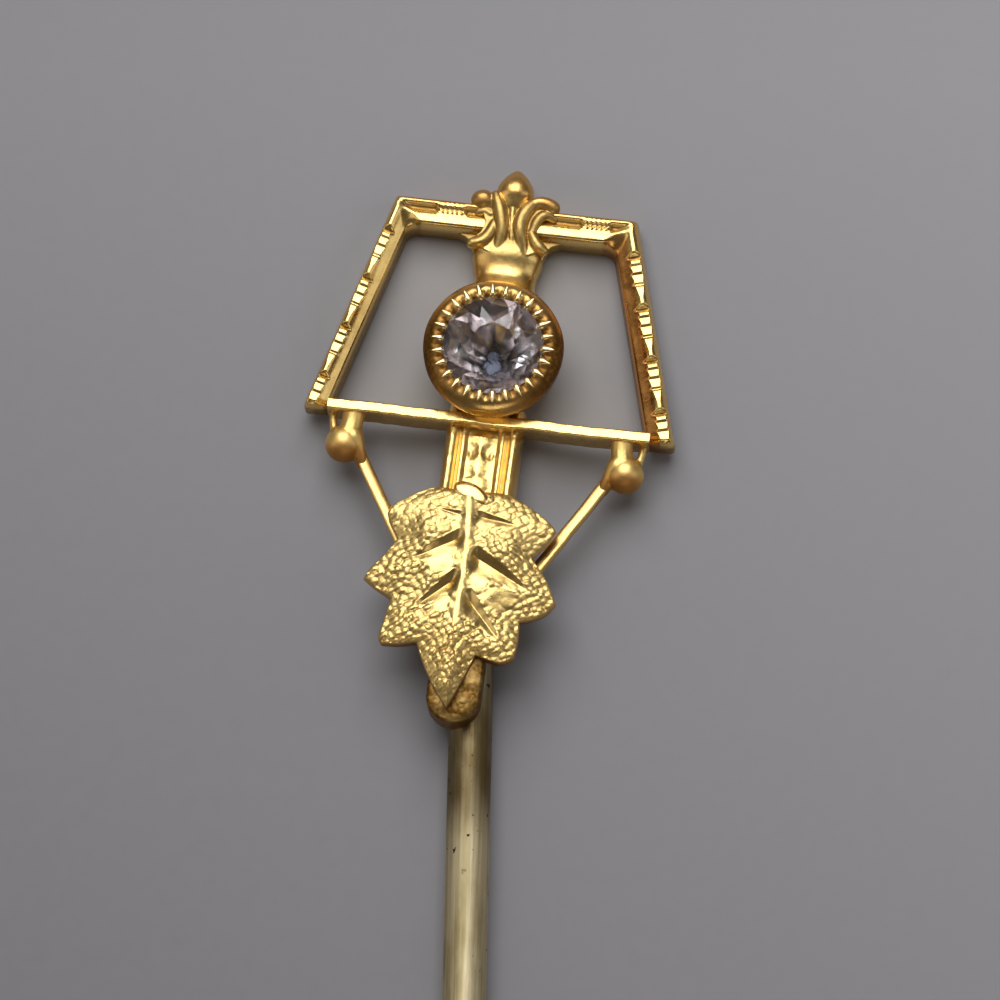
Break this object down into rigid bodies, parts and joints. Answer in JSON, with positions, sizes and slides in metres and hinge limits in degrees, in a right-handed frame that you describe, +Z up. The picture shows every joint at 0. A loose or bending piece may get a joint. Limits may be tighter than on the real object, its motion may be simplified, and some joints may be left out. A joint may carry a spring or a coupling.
{
  "type": "stick pin",
  "caption": "Gold stick pin lying on its back: openwork frame with a fleur-de-lis, a round stone in a milgrain bezel and a lobed leaf, on a long straight wire stem with a point.",
  "frame": {"origin": "centre of the base of the whole pin's box, on the stem's own line, on the surface that the pin lies on", "axes": "+Z up, out of the face; +Y along the stem from the point towards the head; +X to the right, seen from the face with the head up"},
  "size_m": [0.0087, 0.063, 0.0021],
  "materials": {
    "gold": "polished yellow gold, frosted on the leaf, with bright-cut lines",
    "stone": "clear colourless cut stone",
    "stem_metal": "worn pale gilt wire with a dull tarnish"
  },
  "bodies": {
    "root": {"head": "gold", "stone": "stone", "stem": "stem_metal"}
  },
  "joints": []
}
